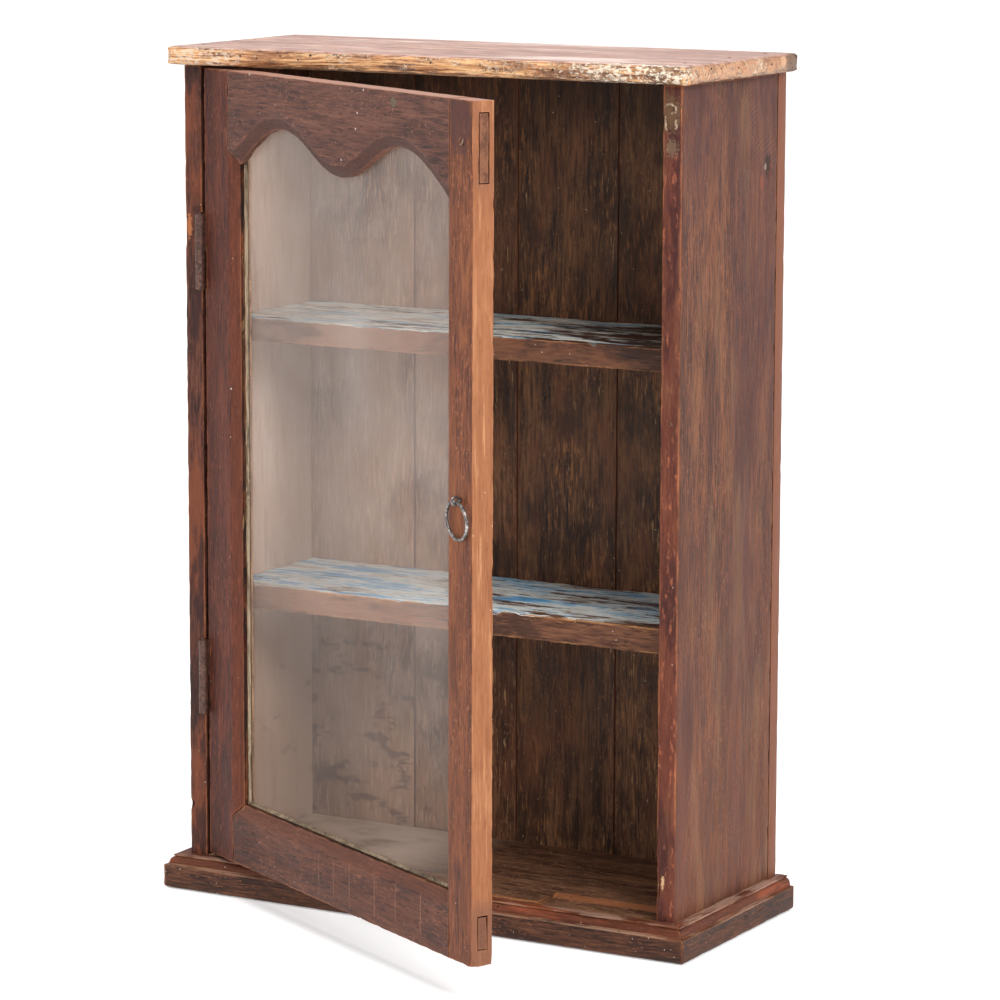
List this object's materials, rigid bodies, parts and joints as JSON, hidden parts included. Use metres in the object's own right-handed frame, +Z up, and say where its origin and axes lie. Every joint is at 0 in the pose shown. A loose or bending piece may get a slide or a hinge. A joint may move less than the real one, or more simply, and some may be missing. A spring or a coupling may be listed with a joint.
{
  "type": "wall mounted showcase",
  "caption": "Narrow reclaimed-wood wall cabinet with a glazed scalloped door on iron hinges, painted shelves, a moulded base and a ring pull.",
  "frame": {"origin": "underside of the base board, at the middle of the body's width and depth", "axes": "+X to the right across the front, -Y out of the front where the door opens, +Y into the wall, +Z up"},
  "size_m": [0.523, 0.4168, 0.7525],
  "materials": {
    "side_wood": "worn dark red-brown oiled wood",
    "back_wood": "dark brown aged wood with golden streaks",
    "top_wood": "pinkish brown worn top with ochre edges and white paint specks",
    "floor_wood": "dark brown worn wood",
    "base_wood": "dark brown rough wood",
    "shelf_lower_paint": "distressed blue and white paint on brown wood",
    "shelf_upper_paint": "distressed pale blue and white paint on brown wood",
    "moulding_wood": "worn brown stained wood",
    "hinge_stile_wood": "purple-brown worn wood",
    "free_stile_wood": "warm red-brown wood with bare orange-tan edge",
    "top_rail_wood": "purple-brown worn wood",
    "bottom_rail_wood": "purple-brown worn wood",
    "glass": "clear flat glass",
    "bead_wood": "plain brown beading",
    "hinge_iron": "rusty dark iron",
    "screw_iron": "dark iron",
    "ring_steel": "dark worn steel",
    "eye_steel": "dark worn steel",
    "hanger_steel": "plain dull steel"
  },
  "bodies": {
    "cabinet": {"base_board": "base_wood", "floor_board": "floor_wood", "side_panel_left": "side_wood", "side_panel_right": "side_wood", "back_plank_1": "back_wood", "back_plank_2": "back_wood", "back_plank_3": "back_wood", "back_plank_4": "back_wood", "top_board": "top_wood", "base_moulding_front": "moulding_wood", "base_moulding_left": "moulding_wood", "base_moulding_right": "moulding_wood", "shelf_lower": "shelf_lower_paint", "shelf_upper": "shelf_upper_paint", "hinge_lower_frame_leaf": "hinge_iron", "hinge_lower_pin": "hinge_iron", "hinge_lower_screw_frame_low": "screw_iron", "hinge_lower_screw_frame_high": "screw_iron", "hinge_upper_frame_leaf": "hinge_iron", "hinge_upper_pin": "hinge_iron", "hinge_upper_screw_frame_low": "screw_iron", "hinge_upper_screw_frame_high": "screw_iron", "hanger_plate_left": "hanger_steel", "hanger_screw_left_low": "hanger_steel", "hanger_screw_left_high": "hanger_steel", "hanger_plate_right": "hanger_steel", "hanger_screw_right_low": "hanger_steel", "hanger_screw_right_high": "hanger_steel"},
    "door": {"door_stile_hinge": "hinge_stile_wood", "door_stile_free": "free_stile_wood", "door_rail_top": "top_rail_wood", "door_rail_bottom": "bottom_rail_wood", "glass_pane": "glass", "glazing_bead_left": "bead_wood", "glazing_bead_right": "bead_wood", "glazing_bead_top": "bead_wood", "glazing_bead_bottom": "bead_wood", "hinge_lower_door_leaf": "hinge_iron", "hinge_lower_screw_door_low": "screw_iron", "hinge_lower_screw_door_high": "screw_iron", "hinge_upper_door_leaf": "hinge_iron", "hinge_upper_screw_door_low": "screw_iron", "hinge_upper_screw_door_high": "screw_iron", "ring_eye": "eye_steel"},
    "ring": {"ring_pull": "ring_steel"}
  },
  "joints": [
    {"name": "door_hinge", "type": "hinge", "parent": "cabinet", "child": "door", "pos_m": [-0.2254, -0.1026, 0.3835], "axis": [0, 0, -1], "range_deg": [-28.8, 141.2]},
    {"name": "ring_swing", "type": "hinge", "parent": "door", "child": "ring", "pos_m": [0.15329, -0.3109, 0.4138], "axis": [-0.8763, 0.4817, 0], "range_deg": [0, 160]}
  ]
}
